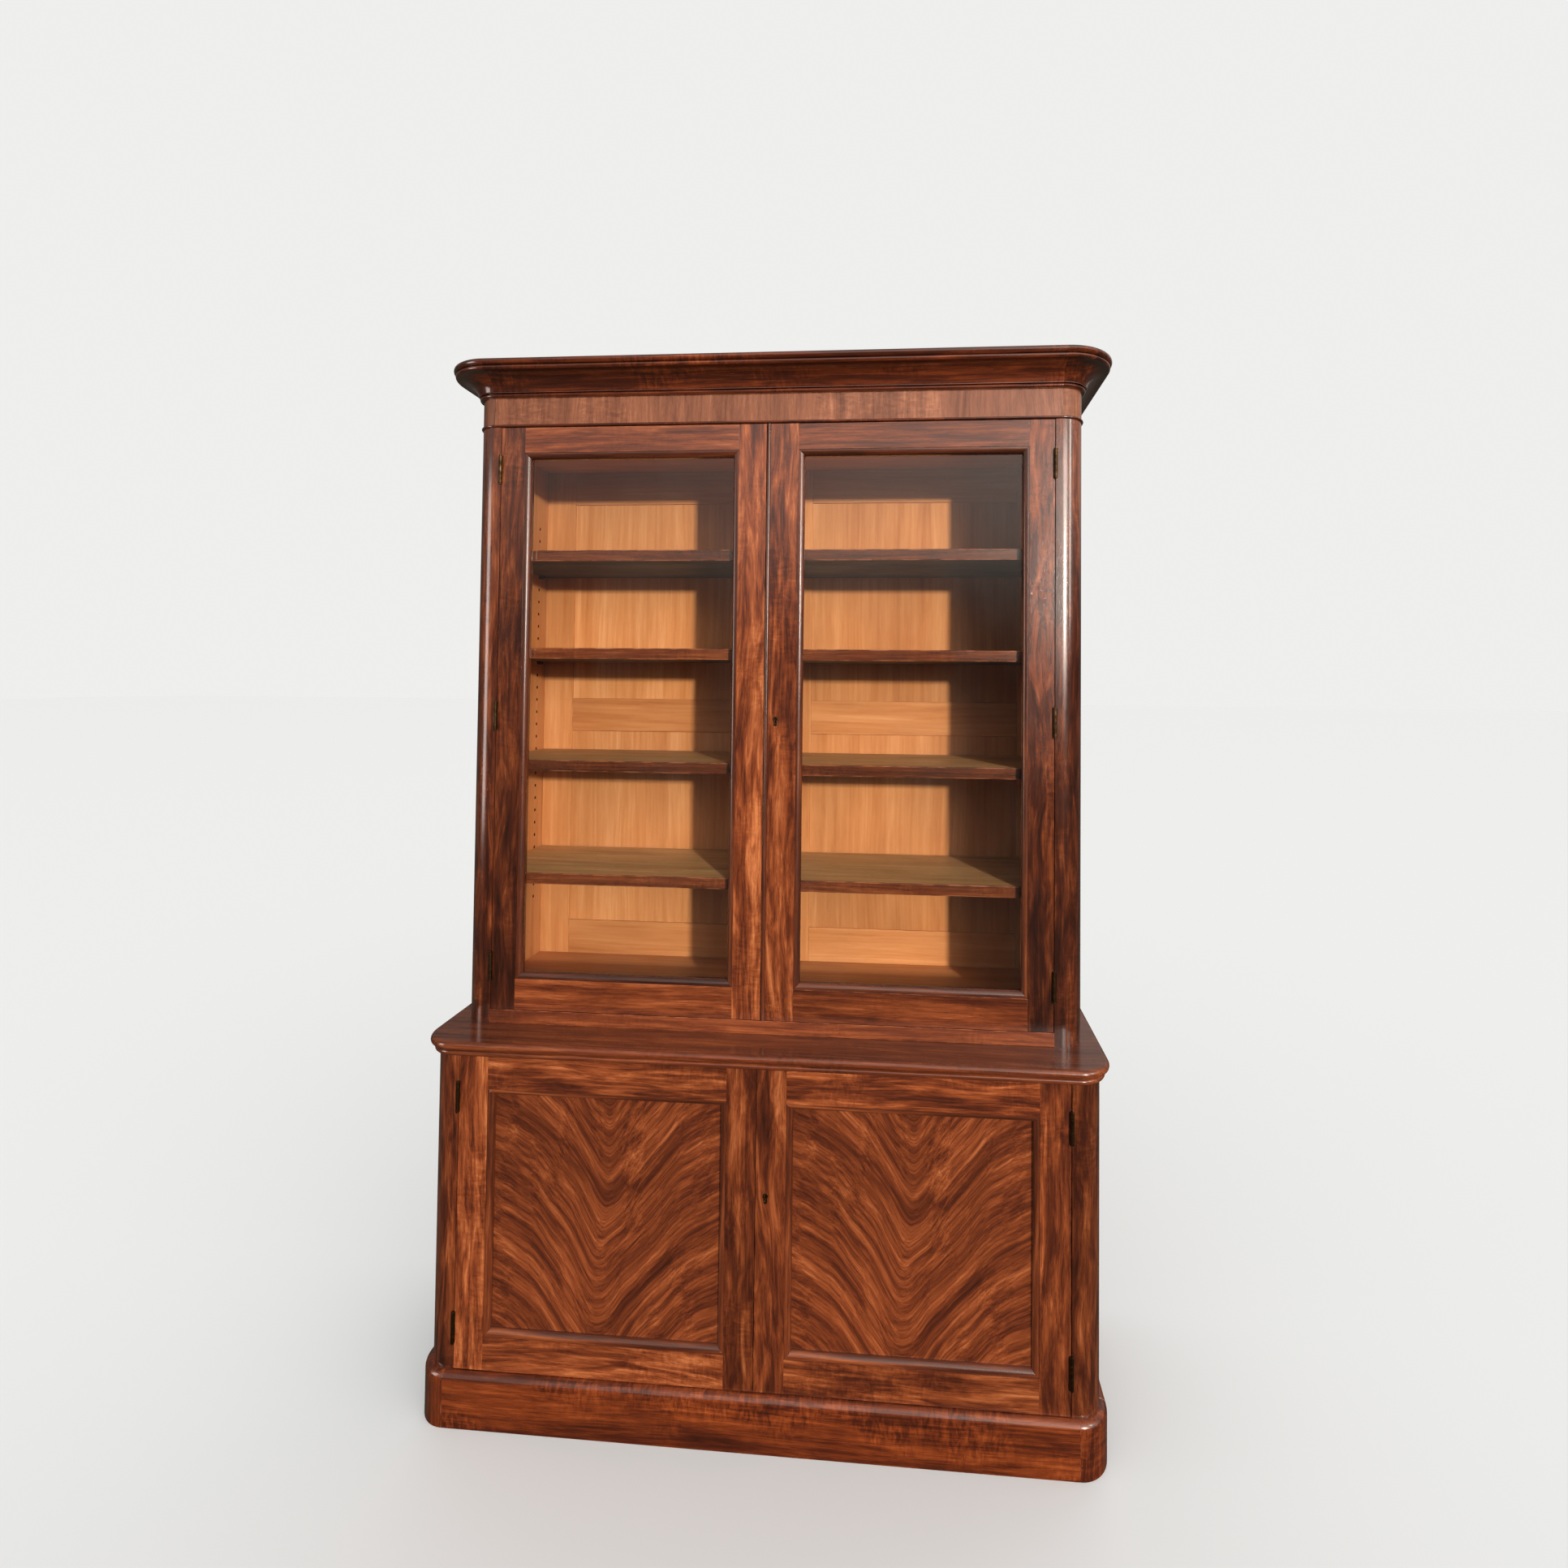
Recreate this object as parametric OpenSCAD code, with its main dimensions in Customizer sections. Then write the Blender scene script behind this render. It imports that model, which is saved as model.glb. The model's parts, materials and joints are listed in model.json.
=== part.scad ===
// Two-part glazed bookcase: a shelf case with two glass doors and a moulded
// cornice, standing on a deeper cupboard base with two panelled doors.
// Millimetres, +Z up, front towards -Y, origin under the middle of the footprint.

/* [Upper case] */
// Width of the upper case across its rounded posts
upper_w = 1408; // [1280:2:1500]
// Depth of the upper case, from the door faces to the back
upper_d = 350; // [320:2:420]
// Height of the glazed doors' opening
upper_open_h = 1350; // [1330:1:1380]
// Width of each corner post, seen from the front
post_w = 65; // [58:1:80]
// Plan radius of the post's rounded corner
post_r = 50; // [44:1:54]
// Thickness of the side boards
side_t = 21; // [18:1:26]
// Height of the frieze board above the doors
frieze_h = 68; // [50:1:90]
// Height of the cornice moulding
cornice_h = 71; // [70:1:80]
// How far the cornice stands out from the frieze
cornice_out = 66; // [64:1:76]
// Height of the rail below the glazed doors
sill_h = 30; // [24:1:40]

/* [Glazed doors] */
// Thickness of the door frames
door_t = 24; // [22:1:28]
// Width of the hinge stiles, with their moulding
hinge_stile_w = 70; // [60:1:90]
// Width of the meeting stiles, with their moulding
meeting_stile_w = 78; // [70:1:90]
// Width of the top rails, with their moulding
top_rail_w = 73; // [60:1:90]
// Width of the bottom rails, with their moulding
bottom_rail_w = 84; // [60:1:110]
// Width of the ovolo moulding round each pane
ovolo_w = 14; // [12:1:14]
// Width of the bead that covers the joint between the doors
bead_w = 9; // [7:1:12]
// Gap round a closed door
door_gap = 1.5; // [1:0.1:2]

/* [Shelves] */
// Thickness of the shelves
shelf_t = 26; // [20:1:30]
// Distance from the door faces back to the shelves' front edges
shelf_set = 31; // [30:1:45]
// Pitch of the peg holes
peg_pitch = 33; // [30:1:36]
// Diameter of the pegs
peg_d = 8; // [6:0.5:9]
// Number of peg holes in each row
peg_rows = 31; // [27:1:34]

/* [Base cupboard] */
// Height of the base, up to the surface that carries the upper case
base_h = 820; // [780:1:860]
// Width of the base across its rounded posts
base_w = 1450; // [1424:2:1500]
// How far the base's front stands forward of the glazed doors
base_step = 85; // [60:1:110]
// Height of the plinth
plinth_h = 112; // [90:1:130]
// How far the plinth stands out from the base
plinth_out = 16; // [10:1:19]
// Thickness of the moulded top
base_top_t = 34; // [28:1:40]
// How far the moulded top stands out from the base
base_top_out = 20; // [16:1:26]

/* [Hardware] */
// Height of the butt hinges
hinge_h = 64; // [50:1:76]
// Radius of the hinge knuckles
knuckle_r = 4.2; // [3.5:0.1:5]
// Radius of the hinge pins
pin_r = 1.8; // [1.5:0.1:2]
// Travel of the flush bolts
flush_travel = 12; // [8:1:12]

/* [Hidden] */
$fn = 64;

// Colours
mahogany = [0.42, 0.18, 0.10];
dark_mahogany = [0.25, 0.09, 0.05];
pale_mahogany = [0.60, 0.35, 0.24];
pine = [0.80, 0.55, 0.35];
shelf_brown = [0.52, 0.38, 0.24];
brass = [0.72, 0.58, 0.30];
clear_glass = [0.80, 0.86, 0.86, 0.35];

// Plan. The glazed doors' faces lie in the plane y = 0 until the whole is centred.
back_y = upper_d;
centre_y = (back_y - base_step - base_top_out) / 2;
upper_x = upper_w / 2;
hinge_x = upper_x - post_w;
inner_x = upper_x - side_t;
post_x = upper_x - post_r;
back_t = 18;
back_face_y = back_y - back_t;
base_x = base_w / 2;
base_y = -base_step;
base_hinge_x = base_x - post_w;
base_inner_x = base_x - side_t;
base_post_x = base_x - post_r;
base_post_y = base_y + post_r;

// Heights
door_z0 = base_h + sill_h;
door_z1 = door_z0 + upper_open_h;
frieze_z1 = door_z1 + frieze_h;
floor_t = 18;
floor_z0 = door_z0;
floor_z1 = floor_z0 + floor_t;
ceiling_z = door_z1 - floor_t;
top_drop = 24;
top_z0 = frieze_z1 + cornice_h - top_drop;
base_open_z1 = base_h - base_top_t;
base_floor_z1 = plinth_h + floor_t;

// Boards behind the doors start this far back from the door faces
board_y = door_t + 2;
rail_t = 26;

// Hairline between pieces that are glued together
seam = 0.1;

// Back: framing round four panels, grooved to take their edges
back_stile_w = 81;
back_rail_w = 89;
back_muntin_w = 114;
back_mid_z = door_z0 + 621;
panel_t = 8;
panel_lap = 8;
panel_y = back_face_y + 5;
base_boards = 7;
board_gap = 1;

// Shelves, and the peg hole that each one stands on, counted from the lowest
shelf_rows = [26, 19, 11, 3];
peg_z0 = 1028;
peg_ys = [90, 290];
peg_depth = 12;
peg_head = 14;
peg_clear = 0.1;
peg_flat = 6;
peg_flat_t = 2;
base_peg_steps = 3;
shelf_clear = 1.5;
notch_clear = 2;
base_peg_ys = [20, 290];
base_peg_z = 426;
base_shelf_t = 22;
base_shelf_y = -10;
rail_drop = 30;

// Hinges: both leaves stand this far from the pin's axis, and the pin is in front of the face
leaf_gap = 1;
leaf_t = 2;
leaf_y0 = 4.8;
leaf_y1 = 20;
pin_front = 4;
pin_x = hinge_x - leaf_gap;
base_pin_x = base_hinge_x - leaf_gap;
door_edge = hinge_x - 2 * leaf_gap;
base_door_edge = base_hinge_x - 2 * leaf_gap;
run_clear = 0.05;
wood_clear = 0.6;
pin_head_t = 2;
pin_head_z = hinge_h / 2 + 1.2;
knuckles = 5;
knuckle_gap = 0.3;
screw_r = 1.7;
screw_head_r = 3.4;
screw_len = 14;
screw_y = 13;
screw_zs = [-22, 0, 22];
slot_w = 1;
slot_depth = 0.7;
hinge_zs = [door_z0 + 100, door_z0 + upper_open_h / 2, door_z1 - 100];
base_hinge_zs = [plinth_h + 90, base_open_z1 - 90];

// Glazed doors
leaf_z0 = door_z0 + door_gap;
leaf_z1 = door_z1 - door_gap;
left_meet = bead_w + door_gap;
ovolo_y0 = 1.5;
ovolo_y1 = 13;
glass_t = 3;
glaze_w = 12;
bead_proud = 3;

// Locks
lock_z = door_z0 + upper_open_h / 2;
lock_size = [50, 11, 60];
lock_x = 4;
key_x = 17;
bolt_h = 16;
bolt_t = 6;
bolt_y = 15;
bolt_clear = 0.3;
bolt_len = 42;
keep_depth = 10;
key_size = [3, 3.4, 9];
plate_size = [6, 8, 12];
plate_depth = 2.5;
plate_proud = 0.6;
base_lock_z = 520;
base_lock_x = 4;
base_key_x = 22;

// Flush bolts in the left door's meeting stile
flush_x = -40;
flush_y = 13;
flush_r = 3;
flush_len = 122;
knob_in = 100;
knob_r = 2.5;
knob_slot = 3;
plate_t = 1.5;
plate_w = 16;
plate_z0 = -knob_in - 24;
plate_z1 = -knob_in + 36;

// Base doors
base_stile_w = 78;
base_rail_w = 84;
base_leaf_z0 = plinth_h + door_gap;
base_leaf_z1 = base_open_z1 - door_gap;
base_meet = door_gap / 2;

// Centres the footprint on the origin
module placed() {
    translate([0, -centre_y, 0])
        children();
}

// A box from its lowest corner to its highest
module box(low, high) {
    translate(low)
        cube(high - low);
}

// Draws its children on both sides of the middle plane
module both_sides() {
    children();
    mirror([1, 0, 0])
        children();
}

// Draws its children on the left-hand side
module on_left() {
    mirror([1, 0, 0])
        children();
}

// Moulding runs. Their child is a profile: x is outwards from the case and y is upwards.
module run_front(half_x, y, z) {
    translate([-half_x, y, z])
        rotate([90, 0, 90])
            linear_extrude(2 * half_x)
                mirror([1, 0])
                    children();
}

module run_corner(x, y, z) {
    translate([x, y, z])
        rotate([0, 0, -90])
            rotate_extrude(angle = 90)
                translate([post_r, 0])
                    children();
}

module run_return(x, y, z) {
    translate([x, back_y, z])
        rotate([90, 0, 0])
            linear_extrude(back_y - y)
                children();
}

// One bar of a mitred frame, along X from a to b, growing upwards by w from z = 0. Its child
// is a profile: x is backwards from the door's face and y is inwards from the bar's outer edge.
module mitred_bar(a, b, w) {
    intersection() {
        translate([a, 0, 0])
            rotate([90, 0, 90])
                linear_extrude(b - a)
                    children();
        translate([0, door_t + 1, 0])
            rotate([90, 0, 0])
                linear_extrude(door_t + 2)
                    polygon([
                        [a + seam, 0], [b - seam, 0], [b - w - seam, w], [a + w + seam, w]
                    ]);
    }
}

// Four mitred bars lining the opening from x0, z0 to x1, z1
module mitred_frame(x0, x1, z0, z1, w) {
    translate([0, 0, z0])
        mitred_bar(x0, x1, w)
            children();
    translate([0, 0, z1])
        mirror([0, 0, 1])
            mitred_bar(x0, x1, w)
                children();
    translate([x0, 0, 0])
        mirror([1, 0, -1])
            mitred_bar(z0, z1, w)
                children();
    translate([x1, 0, 0])
        mirror([1, 0, 0])
            mirror([1, 0, -1])
                mitred_bar(z0, z1, w)
                    children();
}

// Profiles

// A small bead and fillet, a deep cove, a second bead, and a rounded nosing at the top
module cornice_profile(inner) {
    core = 4;
    foot = 12;
    foot_r = 4.5;
    fillet_t = 2;
    fillet_out = 10;
    nose_in = 12;
    cove_x = cornice_out - nose_in;
    cove_r = cove_x - fillet_out;
    cove_z = 2;
    bead_r = 5;
    bead_x = cornice_out - core - bead_r;
    nose_r = 7.5;
    bead_z = cove_z + cove_r;
    nose_z = cornice_h - 2 * nose_r;
    translate([-inner, 0])
        square([inner + core, cornice_h]);
    translate([core, (foot - fillet_t) / 2])
        circle(foot_r);
    translate([0, foot - fillet_t])
        square([fillet_out, fillet_t]);
    difference() {
        translate([0, foot])
            square([cove_x, bead_z - foot + 1]);
        translate([cove_x, cove_z])
            circle(cove_r);
    }
    translate([0, bead_z])
        square([bead_x, nose_z - bead_z]);
    translate([bead_x, bead_z + bead_r])
        circle(bead_r);
    translate([0, nose_z])
        square([cornice_out - nose_r, 2 * nose_r]);
    translate([cornice_out - nose_r, nose_z + nose_r])
        circle(nose_r);
}

// Half a bead on a short fillet, all of it outside the face that carries it
module bead_profile() {
    fillet = 1;
    bead_r = 3;
    square([fillet, 2 * bead_r]);
    translate([fillet, bead_r])
        intersection() {
            circle(bead_r);
            translate([0, -bead_r])
                square([bead_r, 2 * bead_r]);
        }
}

module base_top_profile(inner) {
    core = 5;
    bead_r = 6;
    bead_z = 7;
    nose_r = 9;
    translate([-inner, 0])
        square([inner + core, base_top_t]);
    translate([core, bead_z])
        circle(bead_r);
    translate([0, base_top_t - 2 * nose_r])
        square([base_top_out - nose_r, 2 * nose_r]);
    translate([base_top_out - nose_r, base_top_t - nose_r])
        circle(nose_r);
}

module plinth_profile(inner) {
    fillet = 2;
    round_r = plinth_out - fillet;
    translate([-inner, 0])
        square([inner + plinth_out, plinth_h - round_r]);
    intersection() {
        translate([plinth_out - round_r, plinth_h - round_r])
            circle(round_r);
        translate([0, plinth_h - round_r])
            square([plinth_out, round_r]);
    }
    translate([-inner, plinth_h - round_r])
        square([inner + plinth_out - round_r, round_r]);
}

// A quarter round with a narrow fillet along its outer edge
module ovolo_profile() {
    fillet = 3;
    round_r = ovolo_w - fillet;
    translate([ovolo_y0, 0])
        square([ovolo_y1 - ovolo_y0, fillet]);
    intersection() {
        translate([ovolo_y0 + round_r, fillet])
            circle(round_r);
        translate([ovolo_y0, fillet])
            square([round_r, round_r]);
    }
    translate([ovolo_y0 + round_r, 0])
        square([ovolo_y1 - ovolo_y0 - round_r, ovolo_w]);
}

// A keyhole: a round top with a slot below. size is its radius, the slot's width and its drop.
module keyhole(size) {
    circle(size[0]);
    translate([-size[1] / 2, -size[2]])
        square([size[1], size[2]]);
    translate([0, -size[2]])
        circle(size[1] / 2);
}

// Solid keyhole shape through a door at x, z, from y0 to y1
module keyhole_cut(x, z, y0, y1, size) {
    translate([x, y1, z])
        rotate([90, 0, 0])
            linear_extrude(y1 - y0)
                keyhole(size);
}

// Hinge pieces are drawn for a pin on the Z axis with the leaf on its +X side.
// first is 0 for the leaf with the end knuckles and 1 for the leaf between them.
module hinge_leaf(first) {
    step = hinge_h / knuckles;
    difference() {
        union() {
            translate([leaf_gap, leaf_y0, -hinge_h / 2])
                cube([leaf_t, leaf_y1 - leaf_y0, hinge_h]);
            for (i = [first : 2 : knuckles - 1]) {
                z = -hinge_h / 2 + i * step + knuckle_gap / 2;
                translate([0, 0, z])
                    cylinder(r = knuckle_r, h = step - knuckle_gap);
                translate([leaf_gap, 0, z])
                    cube([leaf_t, leaf_y0, step - knuckle_gap]);
            }
        }
        translate([0, 0, -hinge_h / 2 - 1])
            cylinder(r = pin_r + run_clear, h = hinge_h + 2);
        hinge_screws(run_clear);
    }
    difference() {
        hinge_screws(0);
        for (z = screw_zs)
            translate([0, screw_y - slot_w / 2, z - screw_head_r])
                cube([leaf_gap + slot_depth, slot_w, 2 * screw_head_r]);
    }
}

module hinge_screws(clear) {
    for (z = screw_zs)
        translate([leaf_gap, screw_y, z])
            rotate([0, 90, 0])
                rotate_extrude()
                    polygon([
                        [0, 0], [screw_head_r + clear, 0], [screw_r + clear, leaf_t],
                        [screw_r + clear, screw_len + clear], [0, screw_len + clear]
                    ]);
}

// What a leaf, its screws and the knuckles take out of the wood
module hinge_cut() {
    translate([leaf_gap - 1, 0, -hinge_h / 2])
        cube([leaf_t + 1, leaf_y1, hinge_h]);
    cylinder(r = knuckle_r + wood_clear, h = hinge_h + 1, center = true);
    hinge_screws(run_clear);
}

module hinge_pin() {
    cylinder(r = pin_r, h = hinge_h + 1, center = true);
    for (end = [-1, 1])
        translate([0, 0, end * pin_head_z])
            cylinder(r = knuckle_r - 1, h = pin_head_t, center = true);
}

// Repeats a hinge piece at the upper case's hinges, or at the base's, on the right-hand side
module at_upper_hinges() {
    for (z = hinge_zs)
        translate([pin_x, -pin_front, z])
            children();
}

module at_base_hinges() {
    for (z = base_hinge_zs)
        translate([base_pin_x, base_y - pin_front, z])
            children();
}

// Turns a leaf to the door's side of the pin
module door_side() {
    mirror([1, 0, 0])
        children();
}

// Cornice and frieze

module cornice_front() {
    color(dark_mahogany)
        placed()
            run_front(post_x, 0, frieze_z1)
                cornice_profile(rail_t);
}

module cornice_returns() {
    color(dark_mahogany)
        placed()
            both_sides() {
                run_corner(post_x, post_r, frieze_z1)
                    cornice_profile(post_r);
                run_return(upper_x, post_r + seam, frieze_z1)
                    cornice_profile(rail_t);
            }
}

// The board that closes the top, let down between the mouldings
module cornice_top_board() {
    color(pine)
        placed() {
            box([-post_x, rail_t, top_z0], [post_x, post_r, top_z0 + floor_t]);
            box([rail_t - upper_x, post_r, top_z0], [upper_x - rail_t, back_y, top_z0 + floor_t]);
        }
}

module frieze_front() {
    color(pale_mahogany)
        placed()
            difference() {
                box([-post_x, 0, door_z1], [post_x, rail_t, frieze_z1]);
                translate([flush_x, flush_y, door_z1 - 1])
                    cylinder(r = flush_r + 1, h = flush_travel + 4);
            }
}

// Rounded corner blocks, side boards, and the rail between them at the back
module frieze_returns() {
    side_x = upper_x - rail_t;
    color(pale_mahogany)
        placed() {
            both_sides() {
                run_corner(post_x, post_r, door_z1)
                    translate([-post_r, 0])
                        square([post_r, frieze_h]);
                box([side_x, post_r + seam, door_z1], [upper_x, back_y, frieze_z1]);
            }
            box([seam - side_x, back_face_y, door_z1], [side_x - seam, back_y, top_z0]);
        }
}

module frieze_bead() {
    color(dark_mahogany)
        placed() {
            run_front(post_x - seam, 0, door_z1)
                bead_profile();
            both_sides() {
                run_corner(post_x, post_r, door_z1)
                    bead_profile();
                run_return(upper_x, post_r + seam, door_z1)
                    bead_profile();
            }
        }
}

// Upper case

module upper_side() {
    color(mahogany)
        placed()
            difference() {
                box([inner_x, post_r, base_h], [upper_x, back_y, door_z1]);
                for (y = peg_ys, i = [0 : peg_rows - 1])
                    translate([inner_x - 1, y, peg_z0 + i * peg_pitch])
                        rotate([0, 90, 0])
                            cylinder(r = peg_d / 2 + peg_clear, h = peg_depth + 2);
            }
}

module upper_left_side() {
    on_left()
        upper_side();
}

module upper_right_side() {
    upper_side();
}

// A corner post's plan: a flat strip beside the door, then a quarter round
module post_plan(x0, x1, y) {
    translate([x0, y])
        square([x1 - post_r - x0, post_r]);
    intersection() {
        translate([x1 - post_r, y + post_r])
            circle(post_r);
        translate([x1 - post_r, y])
            square(post_r);
    }
}

module upper_post() {
    color(mahogany)
        placed()
            difference() {
                translate([0, 0, base_h])
                    linear_extrude(door_z1 - base_h)
                        post_plan(hinge_x, upper_x, 0);
                at_upper_hinges()
                    hinge_cut();
            }
}

module upper_left_post() {
    on_left()
        upper_post();
}

module upper_right_post() {
    upper_post();
}

module upper_top_board() {
    color(pine)
        placed()
            case_board(ceiling_z, door_z1);
}

module upper_bottom_board() {
    color(pine)
        placed()
            case_board(floor_z0, floor_z1);
}

// A board between the side boards, notched round the posts
module case_board(z0, z1) {
    box([-hinge_x, board_y, z0], [hinge_x, post_r, z1]);
    box([-inner_x, post_r, z0], [inner_x, back_face_y, z1]);
}

module upper_bottom_rail() {
    color(mahogany)
        placed()
            difference() {
                box([-hinge_x, 0, base_h], [hinge_x, rail_t, door_z0]);
                translate([flush_x, flush_y, door_z0 - flush_travel - 3])
                    cylinder(r = flush_r + 1, h = flush_travel + 4);
            }
}

// Back

// The X range of one of the two columns of panels, seen between the framing
function panel_x(column) = column == 0
    ? [back_stile_w - inner_x, -back_muntin_w / 2]
    : [back_muntin_w / 2, inner_x - back_stile_w];

// The Z range of one of the two rows of panels, seen between the framing
function panel_z(row) = row == 0
    ? [floor_z1 + back_rail_w, back_mid_z]
    : [back_mid_z + back_rail_w, ceiling_z - back_rail_w];

module back_panel(column, row, lap, t) {
    xs = panel_x(column);
    zs = panel_z(row);
    box([xs[0] - lap, panel_y, zs[0] - lap], [xs[1] + lap, panel_y + t, zs[1] + lap]);
}

module back_frame() {
    rails = [
        [base_h, floor_z1 + back_rail_w],
        [back_mid_z, back_mid_z + back_rail_w],
        [ceiling_z - back_rail_w, door_z1]
    ];
    stiles = [
        [-inner_x, back_stile_w - inner_x],
        [-back_muntin_w / 2, back_muntin_w / 2],
        [inner_x - back_stile_w, inner_x]
    ];
    color(pine)
        placed()
            difference() {
                union() {
                    for (s = stiles)
                        box([s[0], back_face_y, base_h], [s[1], back_y, door_z1]);
                    for (column = [0, 1], r = rails) {
                        xs = panel_x(column);
                        box([xs[0] + seam, back_face_y, r[0]], [xs[1] - seam, back_y, r[1]]);
                    }
                }
                for (column = [0, 1], row = [0, 1])
                    back_panel(column, row, panel_lap, panel_t);
            }
}

module back_panels() {
    color(pine)
        placed()
            for (column = [0, 1], row = [0, 1])
                back_panel(column, row, panel_lap, panel_t);
}

// Shelves

function shelf_z(number) = peg_z0 + shelf_rows[number - 1] * peg_pitch + peg_d / 2;

module shelf(number) {
    z0 = shelf_z(number);
    end_x = inner_x - shelf_clear;
    front_x = hinge_x - notch_clear;
    y_notch = post_r + notch_clear;
    color(shelf_brown)
        placed() {
            box([-front_x, shelf_set, z0], [front_x, y_notch + 1, z0 + shelf_t]);
            box([-end_x, y_notch, z0], [end_x, back_face_y - shelf_clear, z0 + shelf_t]);
        }
}

module shelf_1() {
    shelf(1);
}

module shelf_2() {
    shelf(2);
}

module shelf_3() {
    shelf(3);
}

module shelf_4() {
    shelf(4);
}

// A peg with its shank in the right-hand side board and a flat head below the shelf
module peg(x, y, z) {
    translate([x - peg_head, y, z])
        rotate([0, 90, 0])
            cylinder(r = peg_d / 2, h = peg_head + peg_depth);
    top = z + peg_d / 2;
    box([x - peg_head, y - peg_flat, top - peg_flat_t], [x, y + peg_flat, top]);
}

module shelf_pegs() {
    color(brass)
        placed()
            both_sides() {
                for (y = peg_ys, row = shelf_rows)
                    peg(inner_x, y, peg_z0 + row * peg_pitch);
                for (y = base_peg_ys)
                    peg(base_inner_x, y, base_peg_z);
            }
}

// Glazed doors. Each piece is drawn for the right-hand side, from the meeting edge at meet to
// the hinge edge, and the left door mirrors it.

module hinge_stile() {
    difference() {
        box(
            [door_edge - hinge_stile_w + ovolo_w, 0, leaf_z0],
            [door_edge, door_t, leaf_z1]
        );
        at_upper_hinges()
            door_side()
                hinge_cut();
    }
}

module meeting_stile(meet) {
    box([meet, 0, leaf_z0], [meet + meeting_stile_w - ovolo_w, door_t, leaf_z1]);
}

module door_rail(meet, z0, z1) {
    box(
        [meet + meeting_stile_w - ovolo_w, 0, z0],
        [door_edge - hinge_stile_w + ovolo_w, door_t, z1]
    );
}

module top_rail(meet) {
    color(mahogany)
        door_rail(meet, leaf_z1 - top_rail_w + ovolo_w, leaf_z1);
}

module bottom_rail(meet) {
    color(mahogany)
        door_rail(meet, leaf_z0, leaf_z0 + bottom_rail_w - ovolo_w);
}

// Draws a mitred frame of the child's profile inside a door's stiles and rails
module in_door(meet, w) {
    mitred_frame(
        meet + meeting_stile_w - ovolo_w,
        door_edge - hinge_stile_w + ovolo_w,
        leaf_z0 + bottom_rail_w - ovolo_w,
        leaf_z1 - top_rail_w + ovolo_w,
        w
    )
        children();
}

module ovolo(meet) {
    color(mahogany)
        in_door(meet, ovolo_w)
            ovolo_profile();
}

module glazing_beads(meet) {
    color(mahogany)
        in_door(meet, glaze_w)
            translate([ovolo_y1 + glass_t, 0])
                square([door_t - ovolo_y1 - glass_t, glaze_w]);
}

module glass(meet) {
    color(clear_glass)
        box(
            [meet + meeting_stile_w - ovolo_w, ovolo_y1, leaf_z0 + bottom_rail_w - ovolo_w],
            [
                door_edge - hinge_stile_w + ovolo_w, ovolo_y1 + glass_t,
                leaf_z1 - top_rail_w + ovolo_w
            ]
        );
}

module door_leaves() {
    color(brass)
        at_upper_hinges()
            door_side()
                hinge_leaf(1);
}

module left_hinge_stile() {
    color(mahogany)
        placed()
            on_left()
                hinge_stile();
}

module left_meeting_stile() {
    color(mahogany)
        placed()
            difference() {
                on_left()
                    meeting_stile(left_meet);
                bolt_space(-left_meet - keep_depth, 0, lock_z, 0);
                flush_bolt_spaces();
            }
}

module left_top_rail() {
    placed()
        on_left()
            top_rail(left_meet);
}

module left_bottom_rail() {
    placed()
        on_left()
            bottom_rail(left_meet);
}

module left_ovolo() {
    placed()
        on_left()
            ovolo(left_meet);
}

module left_glazing_beads() {
    placed()
        on_left()
            glazing_beads(left_meet);
}

module left_glass() {
    placed()
        on_left()
            glass(left_meet);
}

module left_hinge_leaves() {
    placed()
        on_left()
            door_leaves();
}

module right_hinge_stile() {
    color(mahogany)
        placed()
            hinge_stile();
}

module right_meeting_stile() {
    color(mahogany)
        placed()
            difference() {
                meeting_stile(0);
                lock_case(lock_x, 0, lock_z);
                bolt_space(-1, lock_x + 1, lock_z, 0);
                keyhole_cut(key_x, lock_z, -1, plate_depth, plate_size);
                keyhole_cut(key_x, lock_z, 0, door_t - lock_size[1] + 1, key_size);
            }
}

module right_top_rail() {
    placed()
        top_rail(0);
}

module right_bottom_rail() {
    placed()
        bottom_rail(0);
}

module right_ovolo() {
    placed()
        ovolo(0);
}

module right_glazing_beads() {
    placed()
        glazing_beads(0);
}

module right_glass() {
    placed()
        glass(0);
}

module right_hinge_leaves() {
    placed()
        door_leaves();
}

// The bead on the right door's edge, with a rounded front that stands proud
module astragal() {
    color(mahogany)
        placed()
            difference() {
                translate([0, 0, leaf_z0])
                    linear_extrude(leaf_z1 - leaf_z0) {
                        translate([-bead_w, bead_w / 2 - bead_proud])
                            square([bead_w, door_t - bead_w / 2 + bead_proud]);
                        translate([-bead_w / 2, bead_w / 2 - bead_proud])
                            circle(bead_w / 2);
                    }
                bolt_space(-bead_w - 1, 1, lock_z, 0);
            }
}

// Locks and bolts

// A lock's case, let into the back of a stile whose face is at y
module lock_case(x, y, z) {
    box(
        [x, y + door_t - lock_size[1], z - lock_size[2] / 2],
        [x + lock_size[0], y + door_t, z + lock_size[2] / 2]
    );
}

// The way of a lock bolt from x0 to x1, with clearance all round
module bolt_space(x0, x1, z, y) {
    box(
        [x0, y + bolt_y - bolt_clear, z - bolt_clear],
        [x1, y + bolt_y + bolt_t + bolt_clear, z + bolt_h + bolt_clear]
    );
}

module lock(x, y, z, key) {
    difference() {
        lock_case(x, y, z);
        bolt_space(x - 1, bolt_len + 2, z, y);
        keyhole_cut(key, z, y + door_t - lock_size[1] - 1, y + bolt_y - 1, key_size);
    }
}

module upper_lock() {
    color(brass)
        placed()
            lock(lock_x, 0, lock_z, key_x);
}

module upper_lock_bolt() {
    color(brass)
        placed()
            box([0.5 - bead_w, bolt_y, lock_z], [bolt_len, bolt_y + bolt_t, lock_z + bolt_h]);
}

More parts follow.
